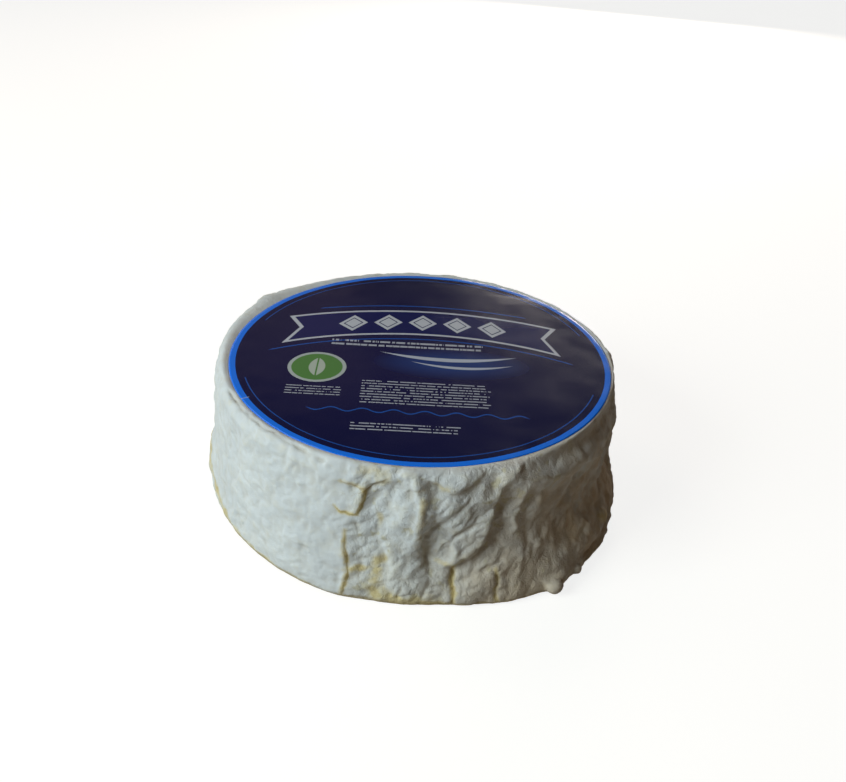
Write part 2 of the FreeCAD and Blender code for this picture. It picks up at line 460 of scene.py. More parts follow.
def distance_to_line(across, up, line):
    """Signed distance from each point of the skin to a line, positive on its left, and the share along it."""
    best = np.full(across.shape, 1e9)
    signed = np.zeros(across.shape)
    share = np.zeros(across.shape)
    count = len(line) - 1
    for k in range(count):
        start, way = line[k], line[k + 1] - line[k]
        length = np.hypot(*way)
        x, y = across - start[0], up - start[1]
        along = np.clip((x * way[0] + y * way[1]) / length**2, 0.0, 1.0)
        gap_x, gap_y = x - along * way[0], y - along * way[1]
        gap = np.hypot(gap_x, gap_y)
        nearer = gap < best
        side = np.sign(way[0] * y - way[1] * x)
        best = np.where(nearer, gap, best)
        signed = np.where(nearer, gap * side, signed)
        share = np.where(nearer, (k + along) / count, share)
    return signed, share


# %% Cross-sections
FADE_SHARE = 0.18
LAP_EDGE = 0.4


def fold_relief(kind, width, signed, share):
    """The height of a fold beside its line, for an amount of 1, which fades to a quarter at both of its ends.

    A ridge or a groove is a bell of the distance, and a crack is a sharper one, cut inwards. A step climbs from
    -0.5 to 0.5 across its line and levels off further away. A lap is the edge of a sheet: high on the line's
    left, where it falls away slowly, and low on its right, where the skin dips under it.
    """
    fade = 0.25 + 0.75 * rise(share, 0.0, FADE_SHARE) * (1.0 - rise(share, 1.0 - FADE_SHARE, 1.0))
    gap = np.abs(signed)
    if kind == "ridge":
        shape = np.exp(-((gap / width) ** 2))
    elif kind == "groove":
        shape = -np.exp(-((gap / width) ** 2))
    elif kind == "crack":
        shape = -np.exp(-((gap / width) ** 1.3))
    elif kind == "step":
        shape = (rise(signed, -width, width) - 0.5) * np.exp(-((gap / (4.5 * width)) ** 2))
    else:
        upper = rise(signed, -LAP_EDGE, LAP_EDGE)
        shape = upper * np.exp(-gap / (3.5 * width)) - 0.7 * (1.0 - upper) * np.exp(-gap / width)
    return shape * fade


# %% The unrolled skin
FRONT_ANGLE = -90.0

here = np.broadcast_to(turn_between(angle, FRONT_ANGLE), (ROWS, COLUMNS))
across = np.radians(here) * BODY_RADIUS
up = np.broadcast_to(climb[:, None], (ROWS, COLUMNS))
turn = np.broadcast_to(np.radians(angle), (ROWS, COLUMNS))
print(f"one cell of the skin is {2 * np.pi * BODY_RADIUS / COLUMNS:.2f} mm wide and {climb[1]:.2f} mm high")


# %% Ways to read the noise
def drum(lean=0.0, stretch=1.0):
    """The skin wound on a true drum, twisted by a lean for each mm of height, its height divided by a stretch.

    Noise read at these points runs in streaks that lean and are longer than they are wide, and it still
    closes round the wheel.
    """
    twisted = turn - lean * up / BODY_RADIUS
    return np.stack([BODY_RADIUS * np.cos(twisted), BODY_RADIUS * np.sin(twisted), up / stretch], axis=-1)


def wander(points, reach, scale, shift):
    """Points pushed about by slow noise, so that what is drawn on them wavers."""
    pushed = [clouds(points / scale + shift + 31.7 * k) for k in range(3)]
    return points + reach * np.stack(pushed, axis=-1)


def crests(points):
    """Sharp crests with soft hollows between them: 1 where the noise is 0, falling away on both sides."""
    return np.clip(1.0 - 1.7 * np.abs(clouds(points)), 0.0, 1.0) ** 1.6


def softened(field, times):
    """Each value shared with its neighbours, a number of times."""
    for _ in range(times):
        side = 0.25 * (np.roll(field, 1, axis=1) + np.roll(field, -1, axis=1))
        tall = np.pad(field, ((1, 1), (0, 0)), mode="edge")
        field = 0.25 * (tall[:-2] + tall[2:]) + side
    return field


def bell(centre, middle, half_width, half_height):
    """A soft oval patch of the skin, 1 in its middle: e to the power of minus half the squared distance."""
    along = np.radians(turn_between(angle, centre))[None, :] * BODY_RADIUS / half_width
    return np.exp(-0.5 * (along**2 + ((up - middle) / half_height) ** 2))


# %% [markdown]
# ## Puckers
#
# The left front of this wheel is smooth and most of the rest is wrinkled. A few soft masks say how wrinkled
# each place is and where the skin is drawn smooth. Each kind of pucker is one field of noise, and the relief,
# in mm outwards, is their sum weighed by the masks.

# %% Where the skin is wrinkled
plain = drum()
near_side = 1.0 - rise(here, 66.0, 80.0)
patchy = rise(clouds(plain / 40.0 + 5.0), -0.4, 0.4)
right_third = rise(here, 34.0, 52.0) * near_side
front = rise(here, -17.0, -13.0) * (1.0 - 0.6 * right_third) * (1.0 - rise(here, 80.0, 115.0))
behind = rise(here, 80.0, 115.0) + (1.0 - rise(here, -125.0, -95.0))
wrinkled = np.clip(front * (0.75 + 0.25 * patchy) + behind * (0.3 + 0.6 * patchy), 0.07, 1.0)
shoulder = rise(up, SKIN_LENGTH - 22.0, SKIN_LENGTH - 10.0)
print(f"wrinkled: {wrinkled.min():.2f} to {wrinkled.max():.2f}, {wrinkled.mean():.2f} on average")

# %% Where it is smoother
right_rim = rise(here, 24.0, 29.0) * rise(up, 50.0, 54.0) * near_side
front_rim = rise(here, -4.0, 2.0) * (1.0 - rise(here, 21.0, 26.0)) * rise(up, 57.5, 61.0)
smooth_rim = right_rim + 0.75 * front_rim
slab = bell(-77.0, 40.0, 10.0, 14.0)
calm = 1.0 - 0.7 * rise(here, 22.0, 40.0) * near_side
dented = rise(here, 34.0, 48.0) * near_side * (1.0 - smooth_rim)
print(f"smooth rim: {(smooth_rim > 0.5).mean():.1%} of the skin")

# %% Kinds of pucker
cushions = puffs(wander(plain, 4.0, 15.0, 2.0) / np.array([11.0, 11.0, 14.0]))
leaning = crests(wander(drum(0.75, 2.2), 3.0, 9.0, 12.0) / 6.2 + 3.0)
upright = crests(wander(drum(-0.15, 2.8), 2.6, 8.0, 22.0) / 4.6 + 9.0)
creases = crests(wander(drum(0.3, 1.4), 3.4, 8.0, 44.0) / 7.4 + 21.0)
small = crests(wander(drum(0.4, 1.5), 1.8, 5.0, 9.0) / 3.5)
pleats = crests(wander(drum(0.0, 5.0), 1.2, 6.0, 33.0) / 4.4 + 1.0)
crumples = layered(plain / 2.2, 2)
dimples = layered(plain / 9.0 + 3.0, 3)
dents = layered(wander(plain, 3.0, 9.0, 71.0) / np.array([9.0, 9.0, 12.0]) + 37.0, 3)

leaning_share = np.clip(bell(-78.0, 42.0, 26.0, 16.0) + 0.6 * patchy, 0.0, 1.0)
streaks = softened(0.9 * leaning_share * leaning + 0.8 * (1.0 - leaning_share) * upright, 4)

# %% The puckers together
uneven = 0.35 + 0.85 * rise(clouds(plain / 13.0 + 90.0), -0.35, 0.5)
uneven = uneven * (1.0 - 0.92 * smooth_rim) * (1.0 - 0.65 * slab)

crumpled_relief = 1.3 * (1.0 - 0.92 * smooth_rim) * (1.0 - 0.35 * slab) * (cushions - 0.6)
crumpled_relief += uneven * (streaks - 0.28)
crumpled_relief -= (0.6 - 0.5 * smooth_rim) * (creases**1.6 - 0.2)
crumpled_relief += calm * (1.0 - 0.6 * smooth_rim) * (0.34 * (small - 0.4) + 0.13 * crumples)
crumpled_relief += shoulder * calm * (1.0 - 0.4 * smooth_rim) * 0.45 * (pleats - 0.4)
flat_relief = 0.7 * dimples + 0.08 * crumples + 0.18 * (upright - 0.4) - 0.22 * creases**2
relief = wrinkled * crumpled_relief + (1.0 - wrinkled) * flat_relief
relief += dented * (1.45 * dents + 0.12 * crumples)
print(f"puckers: {relief.min():.1f} to {relief.max():.1f} mm")

# %% Pads and hollows of the front
# angle, distance up the skin, half width, half height and amount outwards in mm
PADS = {
    "under the slab": (-76, 35, 8, 9, 2.2),
    "foot of the slab": (-79.5, 29, 4, 7, 1.6),
    "hollow left of the slab": (-86.5, 29, 3.5, 7, -1.2),
    "top of the slab": (-80, 49, 6, 5, 1.4),
    "bank of the valley": (-64.5, 47, 5, 8, 1),
    "left lobe of the rim": (-77, 60.5, 5, 3.6, 1.5),
    "right lobe of the rim": (-64.5, 61, 4, 3.4, 1.5),
}
for *patch_place, amount in PADS.values():
    relief += amount * bell(*patch_place)

# %% [markdown]
# ## Folds, laps and cracks
#
# The large folds are the ones an eye remembers, so each is named and placed. At the left a sheet of skin laps
# over the next. In the middle are a tall ridge and a hollow, and to their right a slab stands out, with a
# valley beside it. Short cracks open at the foot, where the skirt spreads.

# %% The named folds
# kind, half width and height in mm, ochre from 0 to 1, then (angle, distance up the skin) along the line
FOLDS = {
    # the rim and the left front
    "rim bead": ("ridge", 2.6, 0.6, 0, [(-160, 59), (-148, 60.2), (-135, 59.4), (-121, 60), (-109, 57.5)]),
    "upper lap": ("lap", 1.1, 0.75, 0.9, [
        (-103, 43.8), (-102.3, 47.5), (-101.7, 54), (-99.5, 57.5), (-95.8, 62.3),
    ]),
    "short lap": ("lap", 0.7, 0.5, 0.7, [(-107.6, 56.6), (-104.5, 55.6), (-101, 55.8)]),
    "middle lap": ("lap", 0.7, 0.5, 0.8, [(-109, 46.4), (-105.8, 43.6), (-102.3, 43.4)]),
    "long edge": ("lap", 0.8, 0.5, 1, [
        (-107, 1), (-105.4, 9), (-104.9, 17.4), (-105.4, 24.4), (-105.9, 31), (-106.4, 36),
    ]),
    # the middle
    "crest line": ("ridge", 1.9, 0.9, 0, [(-104, 60.5), (-96, 61), (-91.5, 63), (-87.5, 62.5)]),
    "main ridge": ("ridge", 2.8, 1.8, 0, [(-89.6, 63), (-88.4, 56.5), (-87.4, 46.5), (-88, 34), (-86.8, 24)]),
    "main hollow": ("groove", 2.2, 2.1, 0.2, [
        (-84.2, 19.5), (-84.9, 24), (-86.2, 29), (-86.4, 34), (-84.6, 38),
    ]),
    "soft crease": ("groove", 1.4, 0.9, 0, [(-85.4, 36.5), (-82, 41.5), (-79, 45.7), (-76.5, 49.3)]),
    # the slab that stands out to the right of the middle, and the valley beside it
    "slab's edge": ("step", 1.6, 3.6, 0, [
        (-81.8, 21.4), (-78.8, 20.9), (-75.5, 23.4), (-72.2, 27.3), (-70.5, 32.6), (-69.5, 39.2),
        (-68.2, 47.9), (-67.2, 56.8), (-64.5, 60.5),
    ]),
    "slab's crease": ("groove", 1.2, 0.9, 0, [(-79.2, 32.9), (-76.8, 36), (-74.8, 38.2), (-72.2, 40.4)]),
    "left lobe": ("step", 1, 1.7, 0.15, [(-87.5, 62.5), (-83, 58.7), (-79.8, 55.8), (-76, 59), (-73.5, 62)]),
    "saddle": ("groove", 2.2, 1, 0, [(-69.8, 64), (-70.2, 57.1), (-72, 52)]),
    "valley": ("groove", 1.6, 0.6, 0, [(-65.2, 55), (-66, 46), (-67, 37), (-67.4, 29), (-70, 22)]),
    "knob": ("ridge", 1.3, 1.1, 0, [
        (-67.4, 38.4), (-65.5, 40.4), (-63.5, 39.4), (-62.5, 35.3), (-63.5, 31.7),
    ]),
    "first streak": ("ridge", 1.4, 0.9, 0, [(-61.6, 54), (-62, 46), (-62.4, 40.1)]),
    "second streak": ("ridge", 1.6, 0.8, 0, [(-57.8, 54), (-56.4, 46), (-55.4, 38)]),
    "third streak": ("ridge", 1.5, 1, 0, [(-52, 29.5), (-54, 24.7), (-57.2, 21.3)]),
    "shade valley": ("groove", 2.2, 0.8, 0, [(-59.4, 50), (-58.6, 42), (-59.2, 34), (-58.6, 26)]),
    "low fold": ("ridge", 1.3, 0.8, 0, [(-73.4, 18.6), (-70.5, 21.4), (-67.2, 20.2)]),
    # cracks at the foot, and the overhanging brow on the right
    "first crack": ("crack", 1.1, 1.3, 1, [(-79.1, 0), (-78.6, 7), (-79.1, 14.5), (-78.7, 21.5)]),
    "second crack": ("crack", 0.8, 1, 0.9, [(-67.6, 0), (-68.5, 8.5), (-67.9, 13), (-68.3, 18)]),
    "brow": ("ridge", 4, 1, 0, [(-63, 57.5), (-57.8, 56.5), (-45, 54.8), (-33, 53.6), (-24, 53), (-14, 54)]),
    "chamfer": ("groove", 3.2, 1, 0, [(-60, 61), (-46, 60.6), (-32, 59.4), (-20, 59)]),
    "swirl": ("ridge", 1.1, 0.9, 0, [
        (-83.4, 27), (-82.9, 30.7), (-80.8, 32.1), (-78.6, 30.4), (-78, 27.1), (-79.4, 24.2),
    ]),
    "brow's edge": ("lap", 0.6, -0.5, 0.35, [
        (-63.5, 60), (-62.2, 59), (-59.8, 57.5), (-57.5, 56.8), (-54.2, 56.1), (-50.8, 55.1),
        (-45.8, 55.4), (-38, 55),
    ]),
    "heel groove": ("groove", 3, 2.4, 0, [(-44, 9.6), (-37, 8), (-31, 8), (-24, 8.6)]),
    "third crack": ("crack", 0.7, 0.8, 0.4, [(-91.6, 0), (-92.2, 7), (-91.2, 12.5)]),
    # the back and the far sides
    "back split": ("crack", 0.9, 1.3, 0.4, [(96, 0), (97.5, 8), (96.6, 17), (98.4, 26)]),
    "back lap": ("lap", 1, 1.3, 0.3, [(71, 22), (72.5, 34), (70, 45), (73, 56)]),
    "far lap": ("lap", 0.9, 1.1, 0.3, [(150, 12), (146, 22), (148, 31), (143, 38)]),
    "side split": ("crack", 0.8, 1.2, 0.8, [(14, 0), (13.2, 9), (14.4, 17)]),
    "side lap": ("lap", 0.9, 1, 0.4, [(24, 30), (30, 34), (37, 33), (43, 37)]),
}
print(f"{len(FOLDS)} folds")

# %% Folds over the puckers
FAR_FROM_A_SEAM = 5.0
LAP_SET_BACK = 0.35


def wavering(place, shift):
    """A place on the skin pushed about by two scales of noise, so that a line drawn there isn't clean."""
    return place + 0.8 * clouds(plain / 6.0 + shift) + 0.4 * clouds(plain / 2.4 + shift + 20.0)


waver_across = wavering(across, 40.0)
waver_up = wavering(up, 50.0)


def from_line(points):
    """Signed distance from each wavering place of the skin to a line drawn on it, and the share along it."""
    centre = points[0][0]
    line = smooth_line([(math.radians(a - centre) * BODY_RADIUS, length) for a, length in points])
    turned = turn_between(np.degrees(waver_across / BODY_RADIUS) + FRONT_ANGLE, centre)
    return distance_to_line(np.radians(turned) * BODY_RADIUS, waver_up, line)


ochre = np.zeros((ROWS, COLUMNS))
seam_gap = np.full((ROWS, COLUMNS), FAR_FROM_A_SEAM)
for kind, width, amount, tint, points in FOLDS.values():
    signed, share = from_line(points)
    relief += amount * fold_relief(kind, width, signed, share)
    if tint > 0.0:
        seam = signed + LAP_SET_BACK * width * (kind == "lap")
        nearer = np.abs(seam) < np.abs(seam_gap)
        seam_gap = np.where(nearer, seam, seam_gap)
        strength = tint * rise(share, 0.0, 0.15) * (1.0 - 0.7 * rise(share, 0.7, 1.0))
        ochre = np.where(nearer, strength, ochre)
print(f"with folds: {relief.min():.1f} to {relief.max():.1f} mm")

# %% Flat at the foot and at the label
# the relief dies away over the lowest 7 mm and the last 5 mm, so that the wheel stands and the label lies
foot_hold = rise(up, 0.0, 7.0)
near_seat = rise(up, SKIN_LENGTH - 5.0, SKIN_LENGTH - 1.5)
at_seat = rise(up, SKIN_LENGTH - 1.5, SKIN_LENGTH)
relief = relief * foot_hold * (1.0 - 0.7 * near_seat - 0.3 * at_seat)
print(f"relief left at the label: {np.abs(relief[-1]).max():.2f} mm")

# %% The crease between the label and the rim
CREASE_HALF_WIDTH = 0.9
RIM_CREASE = [
    (-157, 65.2), (-152, 65.2), (-144.5, 65), (-133.5, 64.8), (-125, 64.7), (-118, 63.8), (-109, 61),
]
signed, share = from_line(RIM_CREASE)
depth = 0.55 + 0.75 * rise(clouds(plain / 7.0 + 64.0), -0.2, 0.4)
crease_ends = rise(share, 0.0, 0.1) * (1.0 - rise(share, 0.85, 1.0))
relief -= depth * crease_ends * np.exp(-((signed / CREASE_HALF_WIDTH) ** 2))

# %% Nubs
# little balls of skin: angle, distance up the skin, half width, half height and amount in mm
NUBS = {
    "right foot": (-53.6, 5.8, 3.3, 2.8, 3),
    "beside it": (-44.6, 5.4, 2.2, 2, 1.8),
    "right heel": (-28, 14.6, 3.4, 3.2, 1.8),
    "back": (61, 5, 3, 2.6, 2.2),
}
for centre, middle, half_width, half_height, amount in NUBS.values():
    along = np.radians(turn_between(angle, centre))[None, :] * BODY_RADIUS / half_width
    ball = np.clip(1.0 - along**2 - ((up - middle) / half_height) ** 2, 0.0, 1.0) ** 0.6
    relief *= 1.0 - 0.7 * bell(centre, middle + 0.8 * half_height, 1.3 * half_width, 1.6 * half_height)
    relief += amount * ball
    relief -= 0.35 * amount * bell(centre, middle + 1.7 * half_height, 1.2 * half_width, 1.0)

# %% Nicks
NICKS = 150
NICK_HALF_WIDTH = 0.8
LIP_PLACE, LIP_HALF_WIDTH, LIP_SHARE = 1.4, 1.0, 0.7

nick_angle = chance.uniform(-180.0, 180.0, NICKS)
nick_height = chance.uniform(6.0, SKIN_LENGTH - 8.0, NICKS)
nick_lean = chance.uniform(-1.2, 1.2, NICKS)
nick_length = chance.uniform(1.4, 3.6, NICKS)
nick_depth = chance.uniform(0.12, 0.45, NICKS)
for k in range(NICKS):
    x = np.radians(turn_between(angle, nick_angle[k]))[None, :] * BODY_RADIUS
    y = waver_up - nick_height[k]
    along = x * math.cos(nick_lean[k]) + y * math.sin(nick_lean[k])
    aside = y * math.cos(nick_lean[k]) - x * math.sin(nick_lean[k])
    near = np.exp(-((along / nick_length[k]) ** 2))
    cut = np.exp(-((aside / NICK_HALF_WIDTH) ** 2))
    lip = LIP_SHARE * np.exp(-(((aside - LIP_PLACE) / LIP_HALF_WIDTH) ** 2))
    relief -= (1.0 - 0.8 * smooth_rim) * nick_depth[k] * near * (cut - lip)
print(f"relief from {relief.min():.1f} to {relief.max():.1f} mm")

# %% [markdown]
# ## Marks on the skin
#
# Hollows are painted darker than crests: painted shade. Ochre skin shows at cracks, at the foot and
# where the skin was rubbed. Both are worked out as one number for each vertex, because the mesh knows where
# its own hollows and lines are, and a texture would have to guess.

# %% Hollows, for the painted shade in them and the rubbed crests
HOLLOW_REACH = 0.6

hollow = np.clip((softened(relief, 10) - relief) / HOLLOW_REACH, -1.0, 1.0)
hollow = softened(hollow, 1)
print(f"hollows: {(hollow > 0.35).mean():.1%} of the skin")

# %% Ochre stains
# strength, half width in mm, then (angle, distance up the skin) along the middle of the stain
STAINS = {
    "long edge": (1.1, 0.8, [
        (-107, 2), (-105.4, 9), (-104.9, 17.4), (-105.4, 24.4), (-105.9, 31), (-106.4, 36),
    ]),
    "branch": (1, 1.2, [(-105.2, 17.2), (-102, 18.4), (-98.8, 20.3), (-97.5, 23.2), (-96, 24.9)]),
    "drop below the branch": (1.1, 1.9, [(-98, 18.9), (-98.3, 14), (-97.8, 9.5)]),
    "middle of the foot": (1.4, 2.8, [(-98, 10), (-96, 6.5), (-92, 4.4), (-87, 3), (-82, 2.2)]),
    "under the label": (0.55, 2, [(-102.8, 62.9), (-100, 62.2), (-96.2, 61.4), (-98, 58.2), (-101.4, 56.2)]),
    "upper lap": (1, 0.7, [
        (-101.9, 54.4), (-102.1, 50.8), (-102.6, 46.2), (-103.2, 43.6), (-106.4, 43.6), (-108.6, 46),
    ]),
    "short lap": (0.8, 0.9, [(-107.4, 56.4), (-104.5, 55.7), (-101.6, 55.8)]),
    "first crack": (1.1, 0.8, [(-79.1, 1), (-78.6, 7), (-79.1, 14.5), (-78.8, 20.5)]),
    "slab's lower edge": (0.8, 0.9, [(-82.4, 22.8), (-80.2, 21.8), (-78.4, 21.4), (-76, 22.4)]),
    "second crack": (1, 0.8, [(-67.6, 1), (-68.5, 8.5), (-67.9, 13), (-68.3, 17.6)]),
    "main ridge": (0.4, 1.2, [(-88, 57), (-87.5, 46.9), (-88, 37.2)]),
    "left fold": (0.5, 1.2, [(-98.4, 46), (-97.6, 41.5), (-98.4, 38)]),
    "left lobe": (0.6, 1.1, [(-84.6, 59.4), (-82.6, 57.6), (-80.6, 56.3)]),
    "left bulge": (0.9, 2.8, [(-183, 22), (-176, 17.5), (-171.5, 15), (-168, 12.5)]),
    "left foot": (1, 1.8, [(-168, 13), (-161, 10), (-151.2, 6.6), (-140, 3.4), (-127, 2.4), (-116, 2)]),
    "right heel": (0.9, 2.4, [(-29, 15.5), (-26.6, 12.4)]),
    "nub": (0.55, 1.4, [(-53, 4), (-50.5, 5.4)]),
    "right foot": (1, 1.2, [(-66, 1.6), (-61, 1.4)]),
    "back split": (0.6, 0.8, [(96, 2), (97.5, 8), (96.6, 17), (98.4, 26)]),
    "back foot": (0.8, 2.6, [(112, 5), (120, 7), (127, 4)]),
    "side foot": (0.8, 2.2, [(34, 4), (41, 5.5), (47, 3.5)]),
    "back skirt": (0.7, 1.6, [(72, 1), (76, 4), (83, 2.5)]),
    "side split": (0.8, 1.2, [(14, 1), (13.2, 9), (14.4, 16)]),
}
stain = np.zeros((ROWS, COLUMNS))
broken = 0.65 + 0.55 * rise(layered(plain / 6.5 + 120.0, 3), -0.5, 0.4)
for strength, width, points in STAINS.values():
    signed, share = from_line(points)
    ends = 0.8 + 0.2 * rise(share, 0.0, 0.3) * (1.0 - rise(share, 0.75, 1.0))
    stain = np.maximum(stain, strength * ends * broken * np.exp(-((signed / (1.3 * width)) ** 2)))
print(f"stained: {(stain > 0.5).mean():.1%} of the skin")


# %% [markdown]
# ## The rind's mesh
#
# The relief moves each point of the smooth skin along its own outward direction. A flat foot closes the wheel
# below, and a flat seat closes it under the label. One grid that closes round its columns holds all of it, so
# there is no seam and the piece is watertight.


# %% Outward directions
def outward(grid):
    """Unit normals of a grid that closes round its columns: the way round crossed with the way up."""
    around = np.roll(grid, -1, axis=1) - np.roll(grid, 1, axis=1)
    upward = np.gradient(grid, axis=0)
    normal = np.cross(around, upward)
    return normal / np.linalg.norm(normal, axis=-1, keepdims=True)


folded = skin + outward(skin) * relief[..., None]
folded[..., 2] = np.maximum(folded[..., 2], 0.0)
print("folded skin:", folded.min((0, 1)).round(1), "to", folded.max((0, 1)).round(1), "mm")

# %% Foot and seat
FOOT_SHARES = np.linspace(0.06, 1.0, 13)[:-1] ** 0.7
SEAT_SHARES = np.array([0.985, 0.9, 0.6, 0.25])
FOOT_HOLLOW = 0.35
FOOT_MIDDLE = (0.0, 0.0, 0.2)
SEAT_DROP = 0.5

under = folded[0] * FOOT_SHARES[:, None, None]
inner = 1.0 - rise(FOOT_SHARES[:, None], 0.93, 1.0)
under[..., 2] = FOOT_HOLLOW * rise(clouds(under / 9.0 + 80.0), -0.2, 0.6) * inner
seat_middle = np.array([label_middle[0], label_middle[1], seat_height - SEAT_DROP])
seat = seat_middle + (folded[-1] - seat_middle) * SEAT_SHARES[:, None, None]
seat[..., 2] = seat_height - SEAT_DROP
grid = np.concatenate([under, folded, seat])
print(f"grid: {grid.shape[0]} rows of {grid.shape[1]}")


# %% A closed mesh from a grid
def closed_mesh(name, grid, bottom, top):
    """A mesh of quads over a grid that closes round, with a fan of triangles at each end."""
    rows, columns = grid.shape[:2]
    number = np.arange(rows * columns).reshape(rows, columns)
    after = np.roll(number, -1, axis=1)
    quads = np.stack([number[:-1], after[:-1], after[1:], number[1:]], axis=-1).reshape(-1, 4)
    low, high = rows * columns, rows * columns + 1
    low_fan = np.stack([np.full(columns, low), after[0], number[0]], axis=-1)
    high_fan = np.stack([np.full(columns, high), number[-1], after[-1]], axis=-1)
    corners = np.concatenate([quads.ravel(), low_fan.ravel(), high_fan.ravel()])
    sizes = np.concatenate([np.full(len(quads), 4), np.full(2 * columns, 3)])
    points = np.concatenate([grid.reshape(-1, 3), [bottom, top]]) * MM
    mesh = bpy.data.meshes.new(name)
    mesh.vertices.add(len(points))
    mesh.vertices.foreach_set("co", points.ravel())
    mesh.loops.add(len(corners))
    mesh.loops.foreach_set("vertex_index", corners.astype(np.int32))
    mesh.polygons.add(len(sizes))
    mesh.polygons.foreach_set("loop_start", np.concatenate([[0], np.cumsum(sizes)[:-1]]).astype(np.int32))
    mesh.polygons.foreach_set("use_smooth", np.ones(len(sizes), dtype=bool))
    mesh.update(calc_edges=True)
    mesh.validate()
    piece = bpy.data.objects.new(name, mesh)
    bpy.context.scene.collection.objects.link(piece)
    print(f"{name}: {len(quads) * 2 + 2 * columns} triangles")
    return piece


def carry(piece, name, values):
    """Gives each vertex of a piece one number, under a name that a material can read."""
    piece.data.attributes.new(name, "FLOAT", "POINT").data.foreach_set("value", values.astype(np.float32))


# %% The rind
wheel = closed_mesh("rind", grid, FOOT_MIDDLE, seat_middle)


def over_whole(field, under_value=0.0, seat_value=0.0):
    """A field of the side, with one value for all of the foot and another for all of the seat."""
    below = np.full(len(under) * COLUMNS, under_value)
    above = np.full(len(seat) * COLUMNS, seat_value)
    return np.concatenate([below, field.ravel(), above, [under_value, seat_value]])


carry(wheel, "seam", over_whole(seam_gap, FAR_FROM_A_SEAM, FAR_FROM_A_SEAM))
carry(wheel, "ochre", over_whole(ochre))
carry(wheel, "stain", over_whole(stain, 0.3))
carry(wheel, "hollow", over_whole(hollow))
carry(wheel, "wrinkled", over_whole(wrinkled, 0.6))


# %% [markdown]
# ## The rind's material
#
# The rind is a felt of white mould over a cream skin. It is quite matt, a little cool where it is thick, and
# it lets the skin's cream and ochre through where it is rubbed or split. Its hollows and its right front carry
# painted shade. Three scales of noise make it: patches, mottling and a fine nap. The mesh's own numbers say
# where its cracks and hollows are.

# %% What the rind's colour reads
rind = Sheet("rind")
spot = rind.place()
patches = rind.noise(spot, 38.0, 3.0, 0.55)
mottle = rind.noise(spot, 190.0, 4.0, 0.6)
nap = rind.noise(spot, 1500.0, 3.0, 0.6)
seam = rind.attribute("seam")
ochre_strength = rind.attribute("ochre")
stained = rind.attribute("stain")
hollow_share = rind.attribute("hollow")
crumpled = rind.attribute("wrinkled")
east, north, height = rind.parts(spot)
from_axis = (east * east + north * north) ** 0.5
right_front = north.under(2.0 * MM, 40.0 * MM)

# %% White felt over a cream skin
THICK_FELT, THIN_FELT = (0.80, 0.81, 0.785, 1.0), (0.70, 0.715, 0.70, 1.0)
MOTTLED_CREAM = (0.70, 0.66, 0.55, 1.0)
HOLLOW_PAINTED_SHADE = (0.52, 0.47, 0.37, 1.0)
RUBBED_CREAM = (0.74, 0.68, 0.50, 1.0)

white = rind.blend(patches.over(0.5, 0.35), THIN_FELT, THICK_FELT)
white = rind.blend(mottle.over(0.58, 0.25) * 0.4, white, MOTTLED_CREAM)
# painted shade: the hollows are drawn greyer and browner than the crests
white = rind.blend(hollow_share.over(0.35, 0.7) * 0.55, white, HOLLOW_PAINTED_SHADE)
rubbed = hollow_share.under(-0.35, 0.6) * mottle.over(0.50, 0.2)
white = rind.blend(rubbed * 0.45, white, RUBBED_CREAM)

# %% Thin places low down, and painted shade low down and to the right
FOOT_CREAM = (0.73, 0.66, 0.52, 1.0)
PAINTED_SHADE_BROWN = (0.48, 0.37, 0.24, 1.0)
PAINTED_WARM_SHADE_CREAM = (0.78, 0.66, 0.54, 1.0)
SPECK_OLIVE = (0.52, 0.44, 0.19, 1.0)

thin = crumpled * height.under(24.0 * MM, 30.0 * MM) * (0.4 + patches)
white = rind.blend(thin * 0.45, white, FOOT_CREAM)
# painted shade: the low right front, which lies in shade, is drawn darker and browner
low_right_painted_shade = crumpled * right_front * height.under(28.0 * MM, 24.0 * MM) * east.over(16.0 * MM, 28.0 * MM)
white = rind.blend(low_right_painted_shade * (0.5 + mottle) * 0.85, white, PAINTED_SHADE_BROWN)
# painted shade: the right front, which lies in shade, is drawn a warmer cream
right_painted_warm_shade = crumpled * right_front * east.over(22.0 * MM, 44.0 * MM)
white = rind.blend(right_painted_warm_shade * 0.35, white, PAINTED_WARM_SHADE_CREAM)
specks = rind.noise(spot, 170.0, 2.0, 0.5).over(0.66, 0.07) * crumpled
white = rind.blend(specks * 0.5, white, SPECK_OLIVE)

# %% Ochre marks and seams
GOLD, DARK_GOLD = (0.74, 0.61, 0.30, 1.0), (0.50, 0.36, 0.13, 1.0)
SEAM_OCHRE = (0.42, 0.30, 0.10, 1.0)

uneven_edge = (mottle - 0.5) * 0.5 * stained.over(0.05, 0.1)
mark = (stained * (0.5 + mottle) + uneven_edge).over(0.5, 0.75)
colour = rind.blend(mark * 0.9, white, GOLD)
colour = rind.blend((mark * mottle.over(0.56, 0.2)) * 0.45, colour, DARK_GOLD)
seam_width = 0.1 + 2.4 * (mottle - 0.44).most(0.0)
seam_line = (seam.size() - seam_width).under(0.15, 0.5) * ochre_strength
colour = rind.blend(seam_line * 0.75, colour, SEAM_OCHRE)

# %% The right front browned with brown patches and painted shade, and the foot's line
BROWN_PATCHES_AND_PAINTED_SHADE = (0.60, 0.46, 0.30, 1.0)
BLOT_BROWN = (0.36, 0.26, 0.16, 1.0)
FOOT_BROWN = (0.38, 0.27, 0.10, 1.0)

